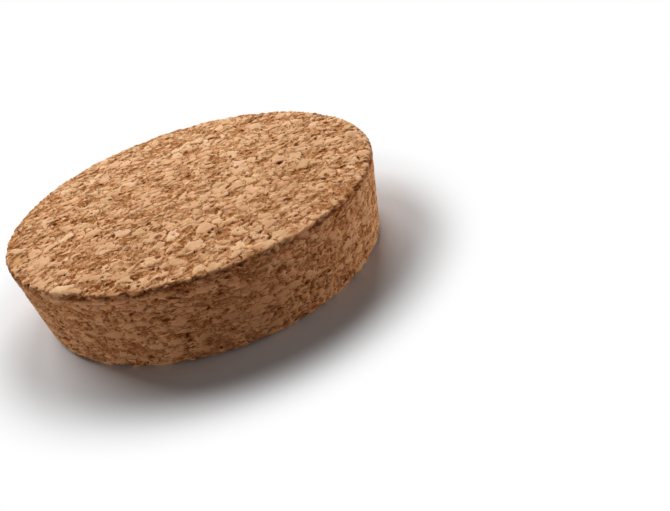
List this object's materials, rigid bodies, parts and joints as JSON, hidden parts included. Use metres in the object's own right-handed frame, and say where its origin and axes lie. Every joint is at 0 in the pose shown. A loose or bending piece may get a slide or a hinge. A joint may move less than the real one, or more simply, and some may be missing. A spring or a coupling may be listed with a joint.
{
  "type": "cork stopper",
  "caption": "Round tapered stopper of pressed cork granules that plugs the mouth of a storage jar.",
  "frame": {"origin": "middle of the narrow face, which the stopper rests on", "axes": "+Z along the stopper's axis, from the narrow face up to the wide face; X and Y are any two directions across it, because the stopper is round"},
  "size_m": [0.0878, 0.0878, 0.02],
  "materials": {
    "pressed_cork": "matt, sanded, granular"
  },
  "bodies": {
    "root": {"cork_stopper": "pressed_cork"}
  },
  "joints": []
}
